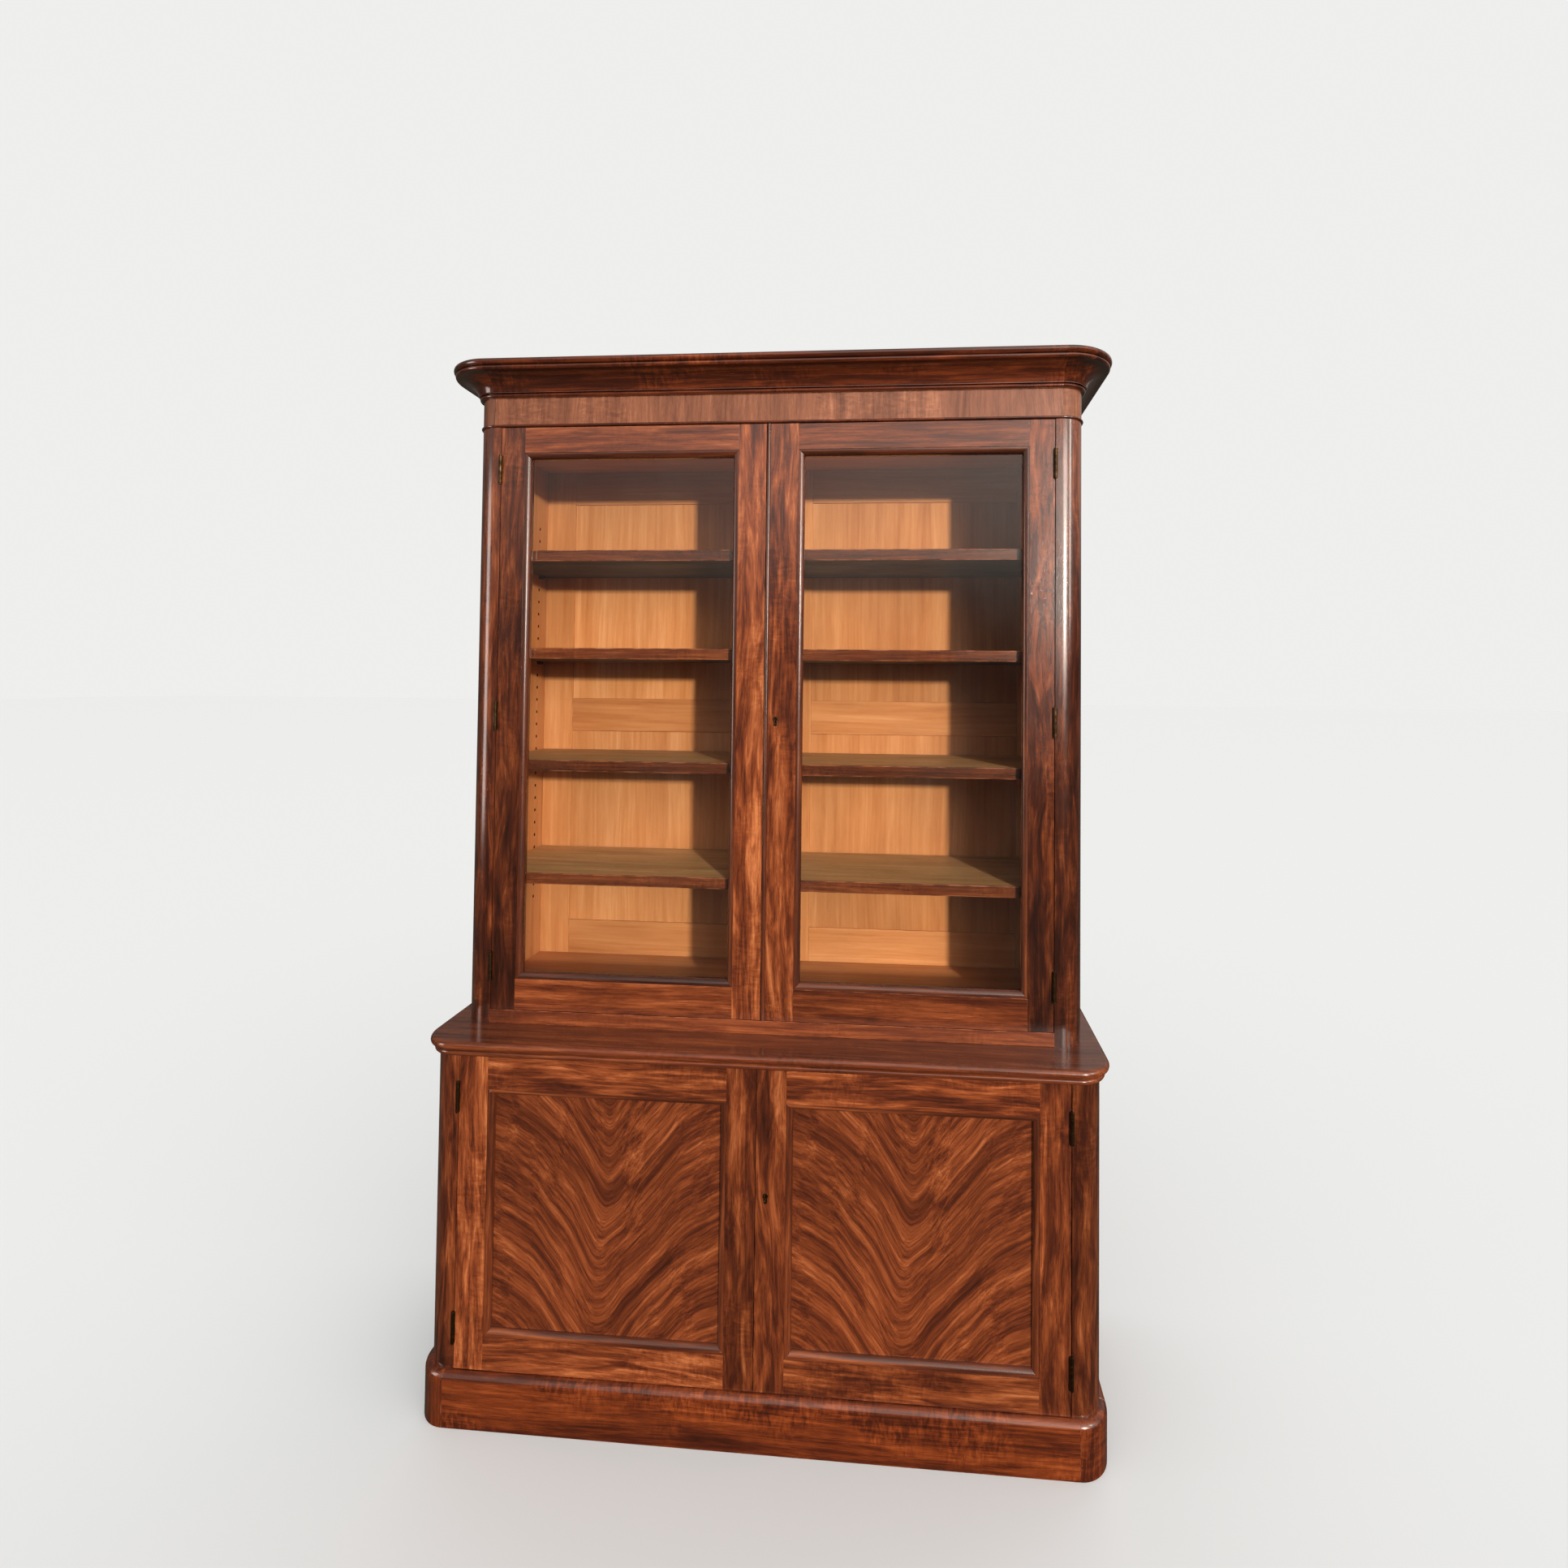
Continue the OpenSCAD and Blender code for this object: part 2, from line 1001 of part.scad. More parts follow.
// A flat keyhole plate let into the face, with the keyhole through it
module escutcheon(x, y, z) {
    difference() {
        keyhole_cut(x, z, y - plate_proud, y + plate_depth, plate_size);
        keyhole_cut(x, z, y - 1, y + plate_depth + 1, key_size);
    }
}

module upper_escutcheon() {
    color(brass)
        placed()
            escutcheon(key_x, 0, lock_z);
}

// Flush bolts. Each is drawn with its tip at z = 0, pointing up.
module flush_bolt() {
    translate([0, 0, -flush_len])
        cylinder(r = flush_r, h = flush_len);
    translate([0, 0, -knob_in])
        rotate([-90, 0, 0])
            cylinder(r = knob_r, h = door_t - flush_y + 2);
}

module flush_space() {
    translate([0, 0, -flush_len - 1])
        cylinder(r = flush_r + 0.08, h = flush_len + 10);
    slot = knob_slot + 1;
    y1 = door_t - flush_y;
    box([-slot, 0, -knob_in - slot - 1], [slot, y1, -knob_in + flush_travel + slot + 1]);
    box([-plate_w / 2, y1 - plate_t, plate_z0], [plate_w / 2, y1 + 1, plate_z1]);
}

module flush_plate() {
    y0 = door_t - flush_y - plate_t;
    slot_z0 = -knob_in - knob_slot - 1;
    slot_z1 = -knob_in + flush_travel + knob_slot + 1;
    difference() {
        box([-plate_w / 2, y0, plate_z0], [plate_w / 2, y0 + plate_t, plate_z1]);
        box([-knob_slot, y0 - 1, slot_z0], [knob_slot, y0 + plate_t + 1, slot_z1]);
    }
}

// Puts a flush bolt's piece at the top edge of the left door, or at its bottom edge
module at_top_bolt() {
    translate([flush_x, flush_y, leaf_z1 - 1])
        children();
}

module at_bottom_bolt() {
    translate([flush_x, flush_y, leaf_z0 + 1])
        mirror([0, 0, 1])
            children();
}

module flush_bolt_spaces() {
    at_top_bolt()
        flush_space();
    at_bottom_bolt()
        flush_space();
}

module flush_bolt_plates() {
    color(brass)
        placed() {
            at_top_bolt()
                flush_plate();
            at_bottom_bolt()
                flush_plate();
        }
}

module top_flush_bolt() {
    color(brass)
        placed()
            at_top_bolt()
                flush_bolt();
}

module bottom_flush_bolt() {
    color(brass)
        placed()
            at_bottom_bolt()
                flush_bolt();
}

// Hinge parts fixed to the case

module case_hinge_leaves() {
    color(brass)
        placed()
            both_sides() {
                at_upper_hinges()
                    hinge_leaf(0);
                at_base_hinges()
                    hinge_leaf(0);
            }
}

module hinge_pins() {
    color(brass)
        placed()
            both_sides() {
                at_upper_hinges()
                    hinge_pin();
                at_base_hinges()
                    hinge_pin();
            }
}

// Base cupboard

module base_top() {
    z = base_open_z1;
    color(mahogany)
        placed() {
            box([-base_post_x, base_y, z], [base_post_x, back_y, base_h]);
            run_front(base_post_x, base_y, z)
                base_top_profile(1);
            both_sides() {
                box([base_post_x, base_post_y, z], [base_x, back_y, base_h]);
                run_corner(base_post_x, base_post_y, z)
                    base_top_profile(post_r);
                run_return(base_x, base_post_y, z)
                    base_top_profile(1);
            }
        }
}

module base_top_rail() {
    y0 = base_y + door_t + 2;
    color(pine)
        placed()
            box(
                [-base_hinge_x, y0, base_open_z1 - rail_drop],
                [base_hinge_x, base_post_y, base_open_z1]
            );
}

module base_ends() {
    side_y = base_post_y + seam;
    color(mahogany)
        placed()
            both_sides() {
                difference() {
                    translate([0, 0, plinth_h])
                        linear_extrude(base_open_z1 - plinth_h)
                            post_plan(base_hinge_x, base_x, base_y);
                    at_base_hinges()
                        hinge_cut();
                }
                difference() {
                    box([base_inner_x, side_y, plinth_h], [base_x, back_y, base_open_z1]);
                    for (y = base_peg_ys, step = [-base_peg_steps : base_peg_steps])
                        translate([base_inner_x - 1, y, base_peg_z + step * peg_pitch])
                            rotate([0, 90, 0])
                                cylinder(r = peg_d / 2 + peg_clear, h = peg_depth + 2);
                }
            }
}

module base_bottom() {
    y0 = base_y + door_t + 2;
    color(pine)
        placed() {
            box([-base_hinge_x, y0, plinth_h], [base_hinge_x, base_post_y, base_floor_z1]);
            box([-base_inner_x, base_post_y, plinth_h], [base_inner_x, back_face_y, base_floor_z1]);
        }
}

// Upright boards, each with a narrow open joint to the next
module base_back() {
    step = 2 * base_inner_x / base_boards;
    color(pine)
        placed()
            for (i = [0 : base_boards - 1])
                box(
                    [i * step - base_inner_x, back_face_y, plinth_h],
                    [(i + 1) * step - base_inner_x - board_gap, back_y, base_open_z1]
                );
}

module base_shelf() {
    z0 = base_peg_z + peg_d / 2;
    end_x = base_inner_x - shelf_clear;
    color(shelf_brown)
        placed()
            box([-end_x, base_shelf_y, z0], [end_x, back_face_y - shelf_clear, z0 + base_shelf_t]);
}

module plinth() {
    inner = 20;
    rear_y = back_y - inner;
    rear_x = base_x - inner - seam;
    color(dark_mahogany)
        placed() {
            run_front(base_post_x - seam, base_y, 0)
                plinth_profile(inner);
            both_sides() {
                run_corner(base_post_x, base_post_y, 0)
                    plinth_profile(post_r);
                run_return(base_x, base_post_y + seam, 0)
                    plinth_profile(inner);
            }
            box([-rear_x, rear_y, 0], [rear_x, back_y, plinth_h]);
        }
}

// Base doors, drawn for the right-hand side

module base_frame() {
    y1 = base_y + door_t;
    x0 = base_meet + base_stile_w - ovolo_w;
    x1 = base_door_edge - base_stile_w + ovolo_w;
    box([base_meet, base_y, base_leaf_z0], [x0, y1, base_leaf_z1]);
    difference() {
        box([x1, base_y, base_leaf_z0], [base_door_edge, y1, base_leaf_z1]);
        at_base_hinges()
            door_side()
                hinge_cut();
    }
    for (z = [base_leaf_z0, base_leaf_z1 - base_rail_w + ovolo_w])
        box([x0 + seam, base_y, z], [x1 - seam, y1, z + base_rail_w - ovolo_w]);
}

module base_panel() {
    x0 = base_meet + base_stile_w - ovolo_w;
    x1 = base_door_edge - base_stile_w + ovolo_w;
    z0 = base_leaf_z0 + base_rail_w - ovolo_w;
    z1 = base_leaf_z1 - base_rail_w + ovolo_w;
    y0 = base_y + ovolo_y1 + seam;
    translate([0, base_y, 0])
        mitred_frame(x0, x1, z0, z1, ovolo_w)
            ovolo_profile();
    box([x0, y0, z0], [x1, y0 + panel_t, z1]);
}

module base_door_leaves() {
    at_base_hinges()
        door_side()
            hinge_leaf(1);
}

module base_left_frame() {
    color(mahogany)
        placed()
            difference() {
                on_left()
                    base_frame();
                bolt_space(-base_meet - keep_depth, 0, base_lock_z, base_y);
            }
}

module base_left_panel() {
    color(pale_mahogany)
        placed()
            on_left()
                base_panel();
}

module base_left_hinge_leaves() {
    color(brass)
        placed()
            on_left()
                base_door_leaves();
}

module base_right_frame() {
    color(mahogany)
        placed()
            difference() {
                base_frame();
                lock_case(base_lock_x, base_y, base_lock_z);
                bolt_space(0, base_lock_x + 1, base_lock_z, base_y);
                keyhole_cut(base_key_x, base_lock_z, base_y - 1, base_y + plate_depth, plate_size);
                keyhole_cut(
                    base_key_x, base_lock_z, base_y,
                    base_y + door_t - lock_size[1] + 1, key_size
                );
            }
}

module base_right_panel() {
    color(pale_mahogany)
        placed()
            base_panel();
}

module base_right_hinge_leaves() {
    color(brass)
        placed()
            base_door_leaves();
}

module base_lock() {
    color(brass)
        placed() {
            lock(base_lock_x, base_y, base_lock_z, base_key_x);
            escutcheon(base_key_x, base_y, base_lock_z);
        }
}

module base_lock_bolt() {
    y0 = base_y + bolt_y;
    color(brass)
        placed()
            box([1.5, y0, base_lock_z], [bolt_len, y0 + bolt_t, base_lock_z + bolt_h]);
}

cornice_front();
cornice_returns();
cornice_top_board();
frieze_front();
frieze_returns();
frieze_bead();
upper_left_side();
upper_right_side();
upper_left_post();
upper_right_post();
upper_top_board();
upper_bottom_board();
upper_bottom_rail();
back_frame();
back_panels();
shelf_1();
shelf_2();
shelf_3();
shelf_4();
shelf_pegs();
left_hinge_stile();
left_meeting_stile();
left_top_rail();
left_bottom_rail();
left_ovolo();
left_glazing_beads();
left_glass();
left_hinge_leaves();
right_hinge_stile();
right_meeting_stile();
right_top_rail();
right_bottom_rail();
right_ovolo();
right_glazing_beads();
right_glass();
right_hinge_leaves();
astragal();
upper_lock();
upper_lock_bolt();
upper_escutcheon();
flush_bolt_plates();
top_flush_bolt();
bottom_flush_bolt();
case_hinge_leaves();
hinge_pins();
base_top();
base_top_rail();
base_ends();
base_bottom();
base_back();
base_shelf();
plinth();
base_left_frame();
base_left_panel();
base_left_hinge_leaves();
base_right_frame();
base_right_panel();
base_right_hinge_leaves();
base_lock();
base_lock_bolt();
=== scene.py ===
import json
import math
import random
import zlib

import bmesh
import bpy
from mathutils import Matrix, Vector


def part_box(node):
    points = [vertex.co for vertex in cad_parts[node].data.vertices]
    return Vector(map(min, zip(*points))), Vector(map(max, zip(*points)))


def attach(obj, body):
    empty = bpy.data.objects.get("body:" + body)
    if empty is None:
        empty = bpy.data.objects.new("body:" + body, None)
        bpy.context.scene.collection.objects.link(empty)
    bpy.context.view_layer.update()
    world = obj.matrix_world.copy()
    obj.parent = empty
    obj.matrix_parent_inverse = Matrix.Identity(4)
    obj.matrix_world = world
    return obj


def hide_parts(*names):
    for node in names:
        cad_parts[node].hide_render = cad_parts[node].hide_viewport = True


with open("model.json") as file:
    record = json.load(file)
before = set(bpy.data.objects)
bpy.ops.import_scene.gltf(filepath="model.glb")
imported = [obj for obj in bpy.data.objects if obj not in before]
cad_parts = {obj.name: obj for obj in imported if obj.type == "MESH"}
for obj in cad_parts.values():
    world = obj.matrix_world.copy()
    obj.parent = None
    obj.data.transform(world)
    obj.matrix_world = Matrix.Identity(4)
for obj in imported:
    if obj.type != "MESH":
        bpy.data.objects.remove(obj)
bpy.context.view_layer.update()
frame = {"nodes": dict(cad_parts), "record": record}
NODES = frame["nodes"]
BODY_OF = {node: body for body, members in frame["record"]["behaviour"]["bodies"].items()
           for node in members}
SIDES = ("left", "right")
X, Z = 0, 2


# ---------------------------------------------------------------- helpers for materials


def rgb(r, g, b):
    """A colour given as the eye sees it, 0 to 255, in the shaders' linear space."""
    def linear(c):
        c /= 255
        return c / 12.92 if c <= 0.04045 else ((c + 0.055) / 1.055) ** 2.4
    return (linear(r), linear(g), linear(b), 1.0)


class Nodes:
    """Builds the nodes of one tree, with its output node in end."""

    def __init__(self, tree, kind_of_end):
        self.tree = tree
        self.tree.nodes.clear()
        self.end = self.add(kind_of_end)

    def put(self, socket, value):
        if isinstance(value, bpy.types.NodeSocket):
            self.tree.links.new(value, socket)
        else:
            socket.default_value = value

    def add(self, kind, inputs=None, **settings):
        node = self.tree.nodes.new(kind)
        for key, value in settings.items():
            setattr(node, key, value)
        for key, value in (inputs or {}).items():
            self.put(node.inputs[key], value)
        return node

    def calc(self, operation, a, b=0.0, c=0.0):
        node = self.add("ShaderNodeMath", operation=operation)
        for socket, value in zip(node.inputs, (a, b, c)):
            self.put(socket, value)
        return node.outputs[0]

    def vec(self, operation, a, b):
        return self.add("ShaderNodeVectorMath", {0: a, 1: b}, operation=operation).outputs[0]

    def noise(self, where, stretch, detail=2.0, rough=0.5, twist=0.0, output=0):
        """Noise at a place stretched by three numbers per metre."""
        inputs = {
            "Vector": self.vec("MULTIPLY", where, stretch), "Scale": 1.0,
            "Detail": detail, "Roughness": rough, "Distortion": twist,
        }
        return self.add("ShaderNodeTexNoise", inputs).outputs[output]

    def reach(self, value, low, high, to_low=0.0, to_high=1.0):
        """value's range from low to high, turned smoothly into another."""
        inputs = {
            "Value": value, "From Min": low, "From Max": high,
            "To Min": to_low, "To Max": to_high,
        }
        return self.add("ShaderNodeMapRange", inputs, interpolation_type="SMOOTHSTEP").outputs[0]

    def ramp(self, value, stops):
        node = self.add("ShaderNodeValToRGB", {"Fac": value})
        elements = node.color_ramp.elements
        while len(elements) < len(stops):
            elements.new(0.5)
        for element, (position, colour) in zip(elements, stops):
            element.position = position
            element.color = colour
        return node.outputs[0]

    def mix(self, share, a, b, mode="MIX"):
        node = self.add("ShaderNodeMix", data_type="RGBA", blend_type=mode)
        for index, value in ((0, share), (6, a), (7, b)):
            self.put(node.inputs[index], value)
        return node.outputs[2]

    def blend(self, share, a, b):
        """Two shaders as one."""
        return self.add("ShaderNodeMixShader", {0: share, 1: a, 2: b}).outputs[0]

    def attribute(self, name, output="Fac"):
        return self.add("ShaderNodeAttribute", attribute_name=name).outputs[output]

    def split(self, vector):
        return self.add("ShaderNodeSeparateXYZ", {0: vector}).outputs

    def join(self, x, y, z):
        return self.add("ShaderNodeCombineXYZ", {0: x, 1: y, 2: z}).outputs[0]

    def bump(self, height, distance, strength):
        inputs = {"Height": height, "Distance": distance, "Strength": strength}
        return self.add("ShaderNodeBump", inputs).outputs[0]

    def camera_sees(self):
        return self.add("ShaderNodeLightPath").outputs["Is Camera Ray"]


class Shader(Nodes):
    """Builds the nodes of one material."""

    def __init__(self, name):
        self.mat = bpy.data.materials.new(name)
        self.mat.use_nodes = True
        super().__init__(self.mat.node_tree, "ShaderNodeOutputMaterial")

    def finish(self, surface):
        self.put(self.end.inputs[0], surface)
        return self.mat

    def principled(self, inputs):
        return self.finish(self.add("ShaderNodeBsdfPrincipled", inputs).outputs[0])


def weigh(s, parts):
    """The sum of several noises about their middle, each with its weight."""
    total = 0.5
    for value, weight in parts:
        total = s.calc("MULTIPLY_ADD", s.calc("SUBTRACT", value, 0.5), weight, total)
    return total


# ---------------------------------------------------------------- wood

# How closely each part of a wood's figure is drawn, in turns per metre: twice across the
# grain, and along it
BANDS, STREAKS, FIBRES, PORES = (30, 30, 1.1), (170, 170, 5.5), (800, 800, 24), (1500, 1500, 70)
FLAMES, RIPPLES, RIPPLE_PATCHES, RINGS = (50, 50, 7.5), (40, 40, 110), (7, 7, 4), (16, 16, 0.5)
DRIFT, BROAD, SMEARS, RUBS = (5, 5, 1.6), (2.3, 2.3, 1.5), (9, 9, 4), (60, 60, 25)
RING_TURNS = 70.0
# How far a board's tone, and the painted light and shade some pieces carry in it, moves it along its
# palette
TONE_SHIFT = 0.1
PORE_TINT, DUST_TINT = rgb(24, 9, 5), rgb(150, 124, 92)
# A plume's tip is rounded by this, in square metres, and its sides droop by this per metre
PLUME_TIP, PLUME_DROOP = 0.0002, -2.6


def plume(s, bent, lean):
    """Turns the grain into the two sides of a plume that rises from X = 0."""
    x, y, z = s.split(bent)
    aside = s.calc("SQRT", s.calc("MULTIPLY_ADD", x, x, PLUME_TIP))
    rise = s.calc("MULTIPLY", aside, s.calc("MULTIPLY_ADD", aside, PLUME_DROOP, lean))
    return s.join(s.calc("SUBTRACT", z, rise), y, aside)


def rubbed(s, grain, worn, colour, gloss):
    """Paler and duller in patches along the eased edges."""
    rub = s.calc("MULTIPLY", s.attribute("wear"), s.reach(s.noise(grain, RUBS, 4.0), 0.42, 0.62))
    return s.mix(s.calc("MULTIPLY", rub, 0.6), colour, worn), s.calc("MULTIPLY_ADD", rub, 0.12, gloss)


def dusty(s, smear, dust, colour, gloss):
    """Dust on the faces that look up."""
    up = s.split(s.add("ShaderNodeNewGeometry").outputs["Normal"])[2]
    lie = s.calc("MULTIPLY", s.reach(up, 0.5, 0.95), s.reach(smear, 0.25, 0.75, 0.35, 1.0))
    return (s.mix(s.calc("MULTIPLY", lie, dust), colour, DUST_TINT),
            s.calc("MULTIPLY_ADD", lie, 0.3 * dust, gloss))


def wood(name, stops, bands=0.6, streaks=0.4, flames=0.0, curl=0.0, fine=0.25, lines=0.0,
         wander=0.03, pore=0.35, rough=(0.13, 0.23), coat=0.0, worn=None, relief=0.0001,
         dust=0.0, deep=0.5, feather=0.0, film=0.15):
    """Polished or plain wood. The mesh carries the wood's own space in "grain": Z is along the
    grain, X and Y across it, in metres. The tone attribute tells boards apart and, on some pieces,
    carries painted light and shade along them; "wear" marks eased edges.
    bands to lines are the strengths of the figure's parts, deep is how much the tone darkens
    or lightens, feather is a plume's lean, and film is the roughness of the varnish."""
    s = Shader(name)
    grain = s.attribute("grain", "Vector")
    tone_and_light = s.attribute("tone_and_light")
    drift = s.vec("SUBTRACT", s.noise(grain, DRIFT, 2.0, output=1), (0.5, 0.5, 0.5))
    bent = s.vec("ADD", grain, s.vec("MULTIPLY", drift, (wander, wander, 0.0)))
    if feather:
        bent = plume(s, bent, feather)

    streak = s.noise(bent, STREAKS, 3.0, 0.6)
    parts = [(s.noise(bent, BANDS, 3.0, 0.55), bands), (streak, streaks),
             (s.noise(bent, FIBRES, 2.0, 0.6), fine)]
    if flames:
        parts.append((s.noise(bent, FLAMES, 3.5, 0.58, 0.8), flames))
    if curl:
        patch = s.reach(s.noise(grain, RIPPLE_PATCHES, 2.0), 0.46, 0.62)
        ripple = s.calc("SUBTRACT", s.noise(bent, RIPPLES, 3.0, 0.5, 0.8), 0.5)
        parts.append((s.calc("MULTIPLY_ADD", patch, ripple, 0.5), curl))
    if lines:
        turns = s.calc("MULTIPLY", s.noise(bent, RINGS, 1.0, 0.4), RING_TURNS)
        parts.append((s.calc("MULTIPLY_ADD", s.calc("SINE", turns), 0.5, 0.5), lines))
    value = weigh(s, parts)
    value = s.calc("MULTIPLY_ADD", s.calc("SUBTRACT", tone_and_light, 0.5), TONE_SHIFT, value)

    pores = s.reach(s.noise(bent, PORES, 1.0), 0.56, 0.7)
    colour = s.mix(s.calc("MULTIPLY", pores, pore), s.ramp(value, stops), PORE_TINT)
    # Brightness from the tone, which on some pieces paints light and shade along them, added to a broad
    # random cloud
    cloud = s.reach(s.noise(grain, BROAD, 3.0, 0.6), 0.3, 0.7, 0.86 - deep / 2, 1.14 - deep / 2)
    shade = s.calc("MULTIPLY_ADD", tone_and_light, deep, cloud)
    colour = s.mix(1.0, colour, s.join(shade, shade, shade), "MULTIPLY")
    smear = s.noise(grain, SMEARS, 4.0, 0.6)
    gloss = s.calc("MULTIPLY_ADD", pores, 0.06, s.reach(smear, 0.3, 0.7, *rough))
    if worn:
        colour, gloss = rubbed(s, grain, worn, colour, gloss)
    if dust:
        colour, gloss = dusty(s, smear, dust, colour, gloss)
    height = s.calc("MULTIPLY_ADD", pores, -pore, s.calc("MULTIPLY", streak, 0.3))
    return s.principled({
        "Base Color": colour, "Roughness": gloss, "Normal": s.bump(height, relief, 0.7),
        "Coat Weight": coat, "Coat Roughness": film, "Specular IOR Level": 0.5,
    })


MAHOGANY = ((0.26, rgb(30, 11, 6)), (0.42, rgb(58, 24, 11)), (0.56, rgb(84, 38, 18)),
            (0.74, rgb(120, 64, 32)))
FIGURED = ((0.27, rgb(36, 13, 6)), (0.41, rgb(62, 25, 12)), (0.51, rgb(86, 39, 18)),
           (0.61, rgb(112, 56, 28)), (0.78, rgb(154, 92, 54)))
DARK = ((0.25, rgb(22, 7, 4)), (0.45, rgb(56, 20, 8)), (0.6, rgb(90, 38, 14)),
        (0.78, rgb(126, 62, 28)))
VENEER = ((0.24, rgb(70, 36, 22)), (0.42, rgb(95, 54, 35)), (0.56, rgb(114, 68, 46)),
          (0.78, rgb(146, 96, 68)))
PINE = ((0.22, rgb(146, 82, 40)), (0.4, rgb(172, 105, 57)), (0.55, rgb(186, 121, 72)),
        (0.78, rgb(210, 150, 102)))
BOARD = ((0.2, rgb(126, 83, 47)), (0.42, rgb(158, 111, 66)), (0.62, rgb(182, 136, 88)),
         (0.82, rgb(206, 163, 113)))
RAW = ((0.2, rgb(126, 86, 54)), (0.5, rgb(160, 115, 77)), (0.8, rgb(188, 145, 103)))
# Painted shade: a dark colour for the shelves' undersides, where the light doesn't reach
UNDERSIDE_SHADE = ((0.2, rgb(26, 14, 9)), (0.5, rgb(40, 22, 13)), (0.8, rgb(58, 34, 20)))
RUBBED = rgb(160, 92, 60)

figured = wood("figured_mahogany", FIGURED, bands=0.5, streaks=0.32, flames=0.75, curl=0.25,
               wander=0.07, coat=0.9, worn=RUBBED)
crotch = wood("crotch_mahogany", FIGURED, bands=0.5, streaks=0.42, flames=0.4, wander=0.12,
              coat=0.9, worn=RUBBED, feather=1.7)
straight = wood("straight_mahogany", FIGURED, bands=0.45, streaks=0.4, flames=0.3, curl=0.1,
                coat=0.9, worn=RUBBED)
plain = wood("mahogany", MAHOGANY, bands=0.5, streaks=0.45, flames=0.25, curl=0.2,
             coat=0.6, worn=RUBBED)
moulded = wood("moulded_mahogany", MAHOGANY, bands=0.6, streaks=0.5, flames=0.2,
               coat=0.8, rough=(0.22, 0.32), film=0.24)
dark = wood("dark_mahogany", DARK, bands=0.5, streaks=0.4, flames=0.4, curl=0.5,
            coat=0.9, rough=(0.15, 0.25), worn=rgb(140, 84, 60))
veneer = wood("frieze_veneer", VENEER, bands=0.4, streaks=0.4, fine=0.3, flames=0.4, curl=0.4,
              wander=0.06, coat=0.3, rough=(0.22, 0.32), worn=rgb(170, 118, 92))
pine = wood("pine", PINE, bands=0.5, streaks=0.28, flames=0.12, lines=0.05, fine=0.15,
            pore=0.06, deep=0.16, rough=(0.45, 0.62), worn=rgb(96, 52, 26))
raw = wood("raw_pine", RAW, bands=0.4, streaks=0.35, lines=0.2, fine=0.3, pore=0.3, deep=0.3,
           rough=(0.68, 0.85), worn=rgb(190, 156, 116), relief=0.0003, dust=0.5)
shelf_wood = wood("shelf_wood", BOARD, bands=0.5, streaks=0.4, lines=0.12, fine=0.25, pore=0.4,
                  deep=0.25, rough=(0.42, 0.62), worn=rgb(170, 112, 68), dust=0.15)
# The shelves' undersides, painted dark to stand for the shade beneath them
painted_shade_underside = wood("underside_painted_shade", UNDERSIDE_SHADE, rough=(0.6, 0.8))


# ---------------------------------------------------------------- brass and glass


def brass_material():
    s = Shader("brass")
    spot = s.add("ShaderNodeTexCoord").outputs["Object"]
    age = s.noise(spot, (90, 90, 90), 5.0, 0.65)
    speck = s.noise(spot, (700, 700, 700), 3.0, 0.6)
    scratch = s.noise(spot, (2500, 300, 300), 2.0)
    value = weigh(s, ((age, 1.0), (speck, 0.5)))
    colour = s.ramp(value, ((0.3, rgb(38, 28, 19)), (0.5, rgb(68, 52, 35)), (0.7, rgb(106, 86, 58))))
    colour = s.mix(s.calc("MULTIPLY", s.attribute("wear"), 0.4), colour, rgb(150, 124, 84))
    return s.principled({
        "Base Color": colour, "Metallic": 1.0, "Roughness": s.reach(value, 0.3, 0.7, 0.55, 0.34),
        "Normal": s.bump(weigh(s, ((speck, 1.0), (scratch, 0.5))), 0.0001, 0.4),
    })


def glass_material():
    """A clear pane, so thin that it passes light straight on, with the ripples of old glass."""
    s = Shader("glass")
    spot = s.add("ShaderNodeTexCoord").outputs["Object"]
    slow = s.noise(spot, (3.5, 3.5, 2.2), 2.0)
    quick = s.noise(spot, (14, 14, 6), 2.0)
    normal = s.bump(weigh(s, ((slow, 1.0), (quick, 0.12))), 0.01, 0.3)
    mirror = s.add("ShaderNodeBsdfGlossy", {"Roughness": 0.015, "Color": (1, 1, 1, 1), "Normal": normal})
    clear = s.add("ShaderNodeBsdfTransparent", {"Color": (0.965, 0.98, 0.97, 1)})
    haze = s.add("ShaderNodeBsdfDiffuse", {"Color": rgb(200, 200, 190)})
    share = s.add("ShaderNodeFresnel", {"IOR": 1.5, "Normal": normal}).outputs[0]
    film = s.reach(s.noise(spot, (6, 6, 3), 4.0, 0.6), 0.3, 0.8, 0.0, 0.005)
    pane = s.blend(s.calc("MULTIPLY", share, 0.7), clear.outputs[0], mirror.outputs[0])
    return s.finish(s.blend(film, pane, haze.outputs[0]))


brass = brass_material()
glass = glass_material()


# ---------------------------------------------------------------- helpers for meshes

SHARP = math.radians(28)
FLAT = math.radians(0.6)
SAME_POINT = 2e-6
NORMALS_WEIGHT = 60
METAL_EDGE = 0.00025


def islands(bm):
    """The separate solids of a mesh, as lists of vertices."""
    left = set(bm.verts)
    found = []
    while left:
        group = [left.pop()]
        for v in group:
            for e in v.link_edges:
                other = e.other_vert(v)
                if other in left:
                    left.remove(other)
                    group.append(other)
        group.sort(key=lambda v: v.index)
        found.append(group)
    found.sort(key=lambda g: g[0].index)
    return found


def corners(verts):
    low = Vector(min(v.co[i] for v in verts) for i in range(3))
    high = Vector(max(v.co[i] for v in verts) for i in range(3))
    return low, high


def longest(low, high):
    size = high - low
    return max(range(3), key=lambda i: size[i])


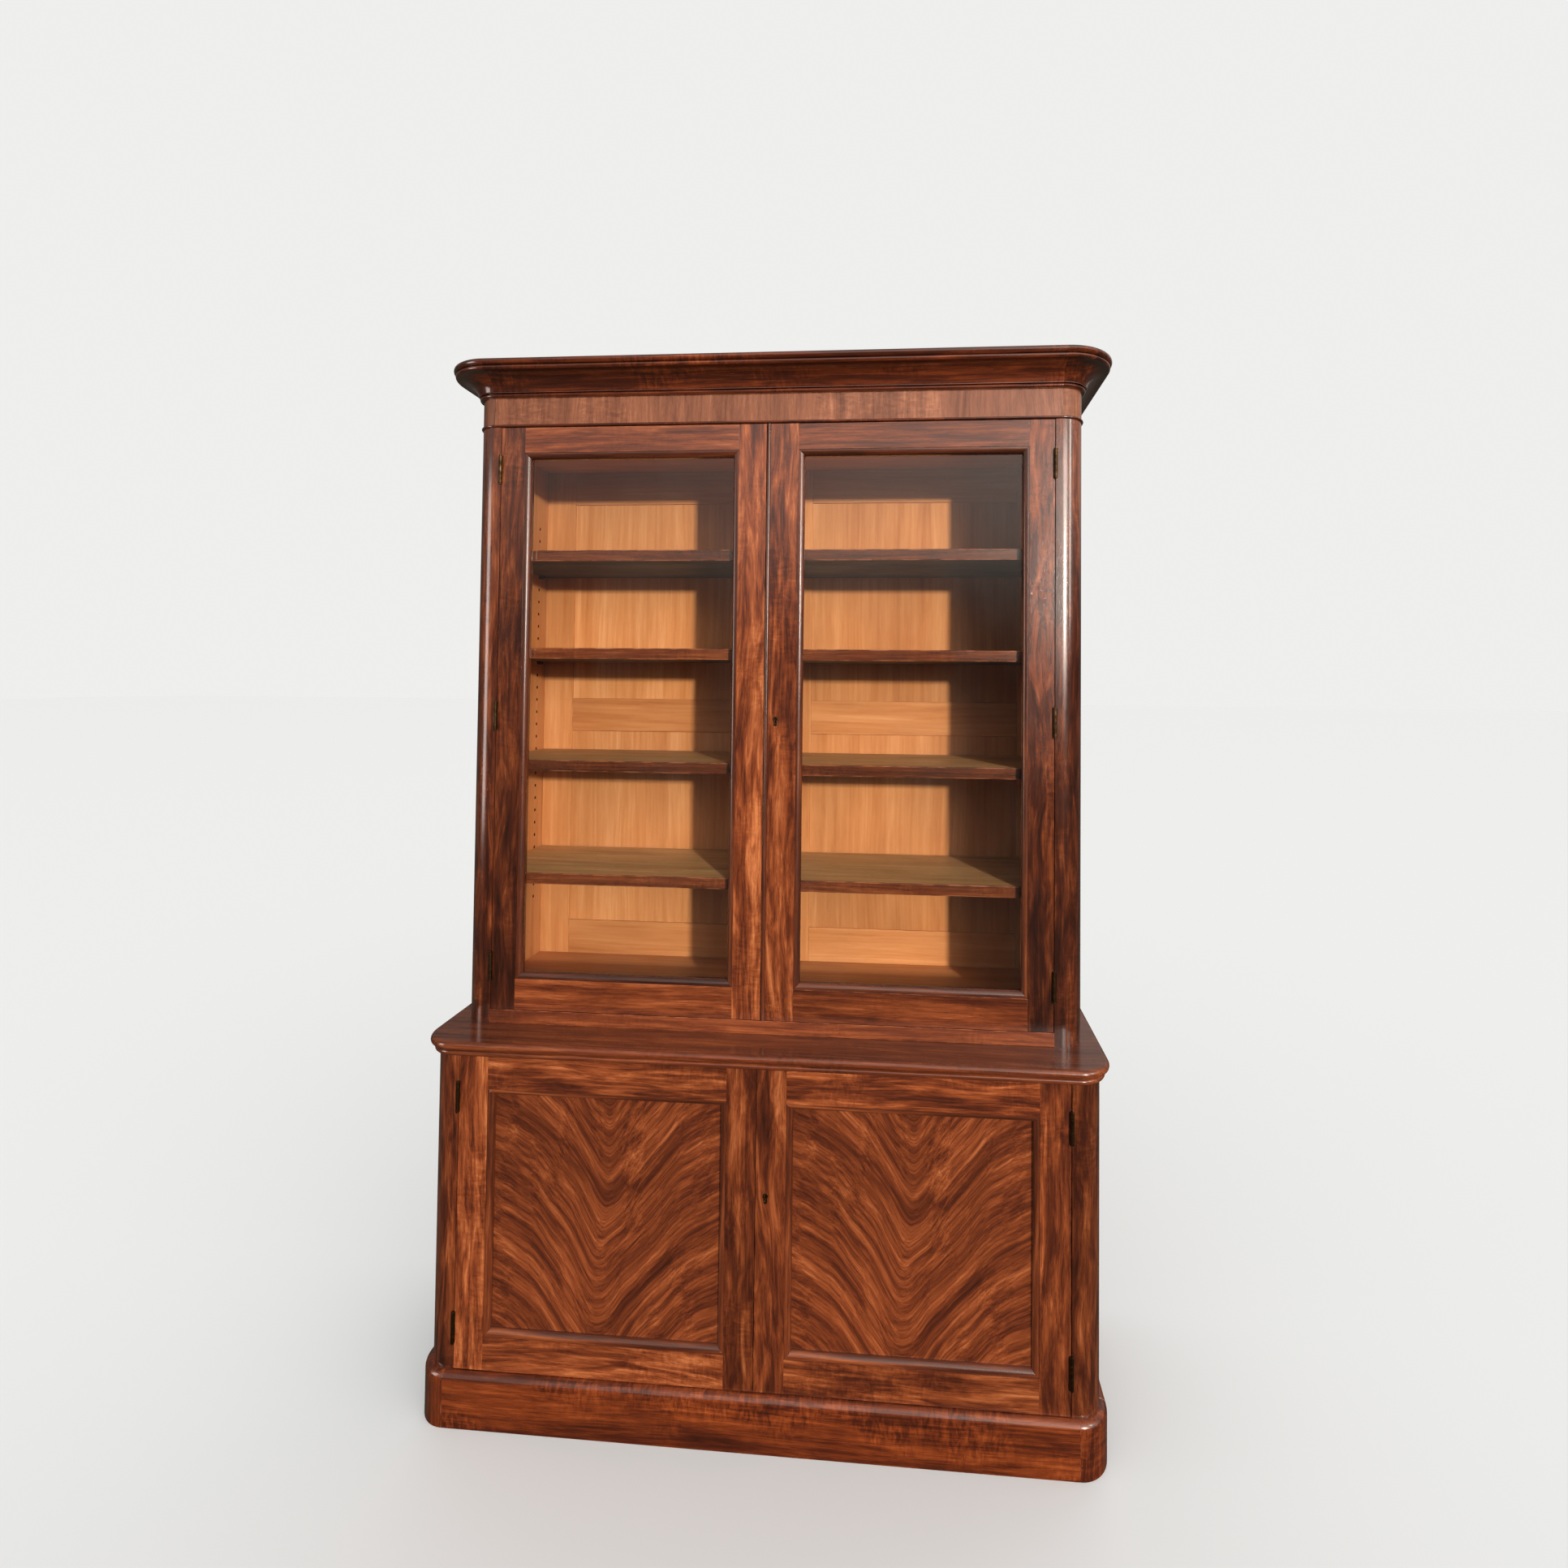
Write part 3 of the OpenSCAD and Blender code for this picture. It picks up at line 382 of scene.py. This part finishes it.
def eased(bm, width, segments=2):
    """Rounds the sharp edges, and marks the new faces as worn."""
    wear = bm.faces.layers.float.new("wear")
    sharp = [e for e in bm.edges if len(e.link_faces) == 2 and e.calc_face_angle() > SHARP]
    made = bmesh.ops.bevel(bm, geom=sharp, offset=width, offset_type="OFFSET", segments=segments,
                           profile=0.5, affect="EDGES", clamp_overlap=True)
    for f in made["faces"]:
        f[wear] = 1.0


def lay_grain(bm, name, grain, tones_and_light, centred):
    """Gives each solid its own piece of wood: the space its grain runs in, and a tone. grain is
    an axis, a function of the solid's corners, or None for its longest side. The tones given are
    those at the low and the high end of the longest side; on the stiles, posts and shelves they
    paint light and shade along the piece, and on the ovolos a painted shade. A centred solid has
    X = 0 at its middle."""
    space = bm.verts.layers.float_vector.new("grain")
    tone_and_light = bm.verts.layers.float.new("tone_and_light")
    pick = random.Random(zlib.crc32(name.encode()))
    bm.verts.index_update()
    for group in islands(bm):
        low, high = corners(group)
        length = longest(low, high)
        along = grain(low, high) if callable(grain) else grain
        if along is None:
            along = length
        offset = Vector(pick.uniform(-9, 9) for _ in range(3))
        shade = pick.random()
        order = [i for i in range(3) if i != along] + [along]
        if centred:
            offset = -Vector((low[i] + high[i]) / 2 for i in order)
        for v in group:
            v[space] = Vector(v.co[i] for i in order) + offset
            v[tone_and_light] = shade
            if tones_and_light:
                share = (v.co[length] - low[length]) / (high[length] - low[length])
                v[tone_and_light] = tones_and_light[0] + (tones_and_light[1] - tones_and_light[0]) * share


def choose_slots(bm, choose):
    """Gives each face the material slot that choose picks from it and its solid's corners."""
    bm.normal_update()
    for group in islands(bm):
        low, high = corners(group)
        for f in {f for v in group for f in v.link_faces}:
            f.material_index = choose(f, low, high)


def place(bm, name, body, node, slots):
    """Turns bm into a piece that rides on a body and stands for a CAD node."""
    mesh = bpy.data.meshes.new(name)
    bm.to_mesh(mesh)
    bm.free()
    if "custom_normal" in mesh.attributes:
        mesh.attributes.remove(mesh.attributes["custom_normal"])
    for polygon in mesh.polygons:
        polygon.use_smooth = True
    for material in slots:
        mesh.materials.append(material)
    piece = bpy.data.objects.new(name, mesh)
    bpy.context.scene.collection.objects.link(piece)
    piece.modifiers.new("normals", "WEIGHTED_NORMAL").weight = NORMALS_WEIGHT
    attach(piece, body)
    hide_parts(node)


def from_cad(node):
    """A CAD node's solids as clean faces instead of triangles."""
    bm = bmesh.new()
    bm.from_mesh(NODES[node].data)
    for layers in (bm.loops.layers.uv, bm.loops.layers.color):
        while len(layers):
            layers.remove(layers[0])
    for f in bm.faces:
        f.material_index = 0
    bmesh.ops.remove_doubles(bm, verts=bm.verts, dist=SAME_POINT)
    bmesh.ops.dissolve_limit(bm, angle_limit=FLAT, verts=bm.verts, edges=bm.edges)
    return bm


def timber(node, slots, edge=0.0008, grain=None, choose=None, segments=2, tones_and_light=None,
           centred=False):
    bm = from_cad(node)
    eased(bm, edge, segments)
    lay_grain(bm, node, grain, tones_and_light, centred)
    if choose:
        choose_slots(bm, choose)
    place(bm, node + "_wood", BODY_OF[node], node, slots)


def metalwork(node):
    bm = from_cad(node)
    eased(bm, METAL_EDGE)
    place(bm, node + "_brass", BODY_OF[node], node, [brass])


# ---------------------------------------------------------------- cornice and frieze

timber("cornice_front", [dark], edge=0.0006, grain=X, tones_and_light=(0.2, 0.5))
timber("cornice_returns", [dark], edge=0.0006, tones_and_light=(0.35, 0.35))
timber("cornice_top_board", [raw], edge=0.0006, grain=X)
timber("frieze_front", [veneer], edge=0.0006, grain=Z, tones_and_light=(0.3, 0.7))


def is_back_board(f, low, high):
    return int(high.x - low.x > 1.0)


timber("frieze_returns", [veneer, raw], edge=0.0006, grain=Z, choose=is_back_board)
timber("frieze_bead", [dark], edge=0.0004)

# ---------------------------------------------------------------- upper case

# How far into a side board its inner face, with its eased edges, reaches
INNER_SKIN = 0.0015


def inner_face(side):
    """Mahogany outside, and the paler wood on the face inside the case."""
    low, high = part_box(f"upper_{side}_side")
    sign, inner_x = (-1, -high.x) if side == "left" else (1, low.x)
    return lambda f, low, high: int(f.calc_center_median().x * sign < inner_x + INNER_SKIN
                                    and abs(f.normal.x) > 0.5)


def outside_back(f, low, high):
    return int(f.normal.y > 0.5)


for side in SIDES:
    timber(f"upper_{side}_side", [plain, pine], edge=0.0005, grain=Z,
           choose=inner_face(side))
# The posts are darker at the bottom, the right one most, and lighter towards the top: painted shade
POST_TONE_AND_SHADE = {"left": (-0.1, 0.2), "right": (-0.4, 0.1)}
for side in SIDES:
    timber(f"upper_{side}_post", [figured], edge=0.0006, grain=Z,
           tones_and_light=POST_TONE_AND_SHADE[side])
timber("upper_top_board", [pine], grain=X)
timber("upper_bottom_board", [pine], grain=X)
timber("upper_bottom_rail", [plain], grain=X)
timber("back_frame", [pine, raw], edge=0.0007, choose=outside_back)
timber("back_panels", [pine, raw], edge=0.0004, grain=Z, choose=outside_back)

# ---------------------------------------------------------------- shelves

# Thickness of the mahogany on a shelf's front edge
LIPPING = 0.006
# Shelves 2 and 4 are lighter at the left end and darker at the right: painted light and shade along them
SHELF_TONE_AND_SHADE = {1: (0.75, 0.75), 2: (1.5, 0.6), 3: (0.75, 0.75), 4: (1.4, 0.65)}


def shelf_faces(f, low, high):
    """A mahogany front edge, and painted shade below: a dark colour on the underside."""
    if f.calc_center_median().y < low.y + LIPPING:
        return 1
    return 2 if f.normal.z < -0.5 else 0


for number, tones_and_light in SHELF_TONE_AND_SHADE.items():
    timber(f"shelf_{number}", [shelf_wood, plain, painted_shade_underside], edge=0.0022, grain=X,
           choose=shelf_faces, segments=3, tones_and_light=tones_and_light)
metalwork("shelf_pegs")

# ---------------------------------------------------------------- glazed doors

# The hinge stiles are darker at the bottom and lighter at the top: painted shade below and a painted
# sheen above
STILE_TONE_AND_SHEEN = {"left": ((-0.15, 0.05), (0.85, 0.8)), "right": ((-0.35, 0.55), (0.7, 0.8))}
TOP_RAIL_TONES = {"left": (0.7, 0.7), "right": (0.4, 0.35)}
for side in SIDES:
    for stile, tones_and_light in zip(("hinge", "meeting"), STILE_TONE_AND_SHEEN[side]):
        timber(f"{side}_{stile}_stile", [figured], edge=0.0005, grain=Z,
               tones_and_light=tones_and_light)
    timber(f"{side}_top_rail", [straight], edge=0.0005, grain=X,
           tones_and_light=TOP_RAIL_TONES[side])
    timber(f"{side}_bottom_rail", [straight], edge=0.0005, grain=X)
    # The ovolos take a dark tone: painted shade, as on the top ovolo that faces down out of the light
    timber(f"{side}_ovolo", [moulded], edge=0.0003, tones_and_light=(0.1, 0.1))
    timber(f"{side}_glazing_beads", [plain], edge=0.0005)
    metalwork(f"{side}_hinge_leaves")
    place(from_cad(f"{side}_glass"), f"{side}_pane", f"{side}_door", f"{side}_glass", [glass])
timber("astragal", [moulded], edge=0.0003, grain=Z)
for node in ("upper_lock", "upper_lock_bolt", "upper_escutcheon", "flush_bolt_plates",
             "top_flush_bolt", "bottom_flush_bolt", "case_hinge_leaves", "hinge_pins",
             "base_left_hinge_leaves", "base_right_hinge_leaves", "base_lock", "base_lock_bolt"):
    metalwork(node)

# ---------------------------------------------------------------- base cupboard


def is_board(low, high):
    return high.x - low.x > 0.2 and high.z - low.z > 0.2


def panel_grain(low, high):
    return Z if is_board(low, high) else longest(low, high)


def panel_faces(f, low, high):
    """The plume on the front of the board only."""
    return int(not is_board(low, high) or f.normal.y > -0.5)


def end_faces(f, low, high):
    """The paler wood on the inner face of each side board."""
    return int(high.y - low.y > 0.2 and abs(f.normal.x) > 0.5 and f.normal.x * (low.x + high.x) < 0)


timber("base_top", [plain], edge=0.0006, grain=X)
timber("base_top_rail", [pine], grain=X)
timber("base_ends", [figured, pine], edge=0.0006, grain=Z, choose=end_faces)
timber("base_bottom", [pine], grain=X)
timber("base_back", [raw], grain=Z)
timber("base_shelf", [shelf_wood], edge=0.002, grain=X, segments=3)
timber("plinth", [dark])
for side in SIDES:
    timber(f"base_{side}_frame", [figured], edge=0.0006)
    timber(f"base_{side}_panel", [crotch, moulded], edge=0.0004,
           grain=panel_grain, choose=panel_faces, tones_and_light=(0.6, 0.6), centred=True)

# ---------------------------------------------------------------- floor and sky

FLOOR_HALF = 60.0
AMBIENT, BAND = 0.06, 1.6

ground = bpy.data.meshes.new("floor")
around = [(x * FLOOR_HALF, y * FLOOR_HALF, 0) for x, y in ((-1, -1), (1, -1), (1, 1), (-1, 1))]
ground.from_pydata(around, [], [(0, 1, 2, 3)])
floor = bpy.data.objects.new("floor", ground)
bpy.context.scene.collection.objects.link(floor)
s = Shader("floor")
tint = s.mix(s.camera_sees(), rgb(72, 64, 56), rgb(223, 227, 228))
ground.materials.append(s.principled({"Base Color": tint, "Roughness": 0.9, "Specular IOR Level": 0.1}))

# Dim all round, with a bright band high up in front, so that gloss has something to show. What
# the camera sees behind the object is white.
world = bpy.data.worlds.new("studio")
bpy.context.scene.world = world
world.use_nodes = True
sky = Nodes(world.node_tree, "ShaderNodeOutputWorld")
toward = sky.split(sky.add("ShaderNodeTexCoord").outputs["Generated"])
band = sky.reach(toward[2], 0.03, 0.28, 0.0, BAND)
for axis, low, high, at_low, at_high in (
        (2, 0.5, 0.95, 1.0, 0.9),
        (1, -0.75, 0.1, 1.0, 0.25),
        (0, -0.6, 0.35, 0.25, 1.0)):
    band = sky.calc("MULTIPLY", band, sky.reach(toward[axis], low, high, at_low, at_high))
soft = sky.add("ShaderNodeBackground", {
    "Color": (1.0, 0.87, 0.78, 1.0), "Strength": sky.calc("ADD", band, AMBIENT)})
white = sky.add("ShaderNodeBackground", {"Color": (0.86, 0.86, 0.85, 1.0)})
sky.put(sky.end.inputs["Surface"], sky.blend(sky.camera_sees(), soft.outputs[0], white.outputs[0]))


# ---------------------------------------------------------------- lamps


def hang(lamp, receivers):
    """Puts a lamp in the scene, to light the receivers only."""
    holder = bpy.data.objects.new(lamp.name, lamp)
    bpy.context.scene.collection.objects.link(holder)
    holder.light_linking.receiver_collection = receivers
    return holder


def group_of(name, pieces):
    group = bpy.data.collections.new(name)
    for piece in pieces:
        group.objects.link(piece)
    return group


def all_but(name, *pieces):
    """The receivers of a lamp that lights everything apart from some pieces."""
    group = group_of(name, pieces)
    for member in group.collection_objects:
        member.light_linking.link_state = "EXCLUDE"
    return group


def softbox(name, at, to, size, radiance, colour, on, diffuse=True, glossy=True):
    """A rectangular light of a given brightness, as its reflection shows it. It can light the
    matt part of a surface only, or its gloss only."""
    lamp = bpy.data.lights.new(name, "AREA")
    lamp.shape = "RECTANGLE"
    lamp.size, lamp.size_y = size
    lamp.energy = radiance * math.pi * size[0] * size[1]
    lamp.color = colour
    holder = hang(lamp, on)
    holder.location = at
    holder.rotation_euler = (Vector(to) - Vector(at)).to_track_quat("-Z", "Y").to_euler()
    holder.visible_diffuse = diffuse
    holder.visible_glossy = glossy


panes = [bpy.data.objects[f"{side}_pane"] for side in SIDES]
right_side = [bpy.data.objects[f"{node}_wood"]
              for node in ("upper_right_side", "cornice_returns", "frieze_returns")]
object_only = all_but("object only", floor)
not_glass = all_but("not glass", floor, *panes)
fronts = all_but("fronts", floor, *panes, *right_side)
KEY_AT = (3.4, -6.5, 2.67)
MIDDLE = (0, 0, 1.5)
softbox("key", KEY_AT, MIDDLE, (0.3, 0.3), 3100, (1.0, 0.95, 0.88), object_only, glossy=False)
softbox("glint", KEY_AT, MIDDLE, (0.2, 0.2), 1500, (1.0, 0.84, 0.74), fronts, diffuse=False)
softbox("wall", (3.5, -6.7, 3.0), MIDDLE, (2.5, 2.6), 8, (1.0, 0.88, 0.78), fronts)
softbox("strip", (3.2, -2.2, 2.7), (0.6, 0, 2.1), (0.35, 1.4), 12, (1.0, 0.9, 0.8), fronts)
softbox("left", (-3.9, -2.4, 1.8), (-0.2, 0, 1.6), (1.2, 2.4), 5, (1.0, 0.86, 0.8), not_glass)
softbox("behind", (-2.0, 5.5, 3.2), (0, 0, 1.2), (2.5, 2.0), 9, (1.0, 0.96, 0.9), object_only,
        glossy=False)

# A wide soft light from above that only the floor takes
overhead = bpy.data.lights.new("overhead", "SUN")
overhead.energy = 2.11
overhead.color = (0.93, 0.97, 1.0)
overhead.angle = math.radians(120)
hang(overhead, group_of("ground", [floor]))

# ---------------------------------------------------------------- camera

EYE_AT = (0.311, -1.859, 1.609)
PITCH, YAW, ROLL = math.radians(1.41), math.radians(4.35), math.radians(0.54)
SENSOR_MM, LENS_MM = 36.0, 17.7902
SHIFT_X, SHIFT_Y = -0.040336, -0.076708

camera = bpy.data.cameras.new("camera")
camera.sensor_width = SENSOR_MM
camera.lens = LENS_MM
camera.shift_x = SHIFT_X
camera.shift_y = SHIFT_Y
camera.clip_start = 0.05
camera.clip_end = 200
eye = bpy.data.objects.new("camera", camera)
ahead = Vector((-math.sin(YAW) * math.cos(PITCH), math.cos(YAW) * math.cos(PITCH), math.sin(PITCH)))
right = ahead.cross(Vector((0, 0, 1))).normalized()
up = right.cross(ahead)
right, up = (right * math.cos(ROLL) + up * math.sin(ROLL), up * math.cos(ROLL) - right * math.sin(ROLL))
turn = Matrix((right, up, -ahead)).transposed()
eye.matrix_world = Matrix.Translation(EYE_AT) @ turn.to_4x4()
bpy.context.scene.collection.objects.link(eye)
bpy.context.scene.camera = eye
bpy.context.scene.view_settings.view_transform = "Standard"
